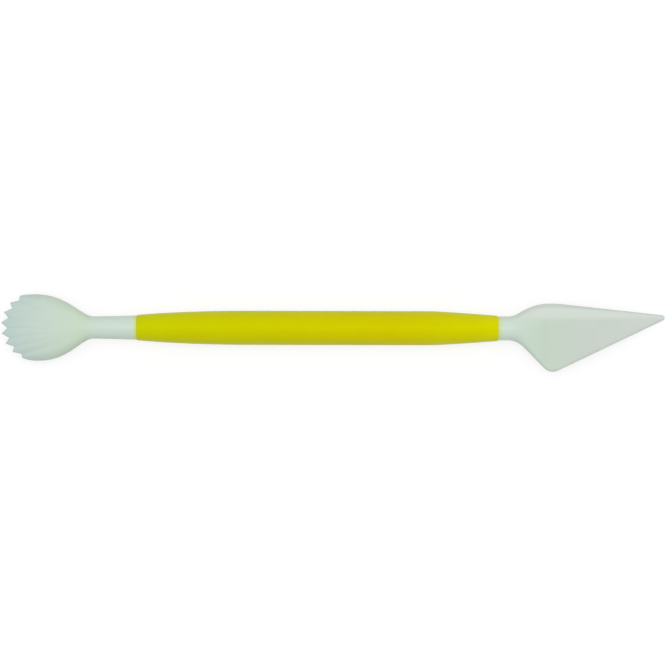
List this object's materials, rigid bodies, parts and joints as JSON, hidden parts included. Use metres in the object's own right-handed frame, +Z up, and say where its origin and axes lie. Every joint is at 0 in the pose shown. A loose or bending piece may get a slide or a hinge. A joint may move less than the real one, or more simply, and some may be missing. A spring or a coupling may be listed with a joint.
{
  "type": "modelling tool",
  "caption": "Hand tool for modelling paste or clay: a slim handle with a ribbed, saw-toothed shell head at one end and a pointed blade at the other.",
  "frame": {"origin": "on the surface that the tool lies on, below the middle of the barrel", "axes": "+X along the tool from the shell to the blade, +Y towards the blade's spine, +Z up, away from the surface"},
  "size_m": [0.17, 0.0197, 0.0087],
  "materials": {
    "handle_yellow": "moulded yellow plastic with a soft satin gloss",
    "shell_white": "moulded milky white plastic, slightly translucent, satin",
    "blade_white": "moulded milky white plastic, slightly translucent, satin"
  },
  "bodies": {
    "root": {"handle_barrel": "handle_yellow", "shell_head": "shell_white", "blade_head": "blade_white"}
  },
  "joints": []
}
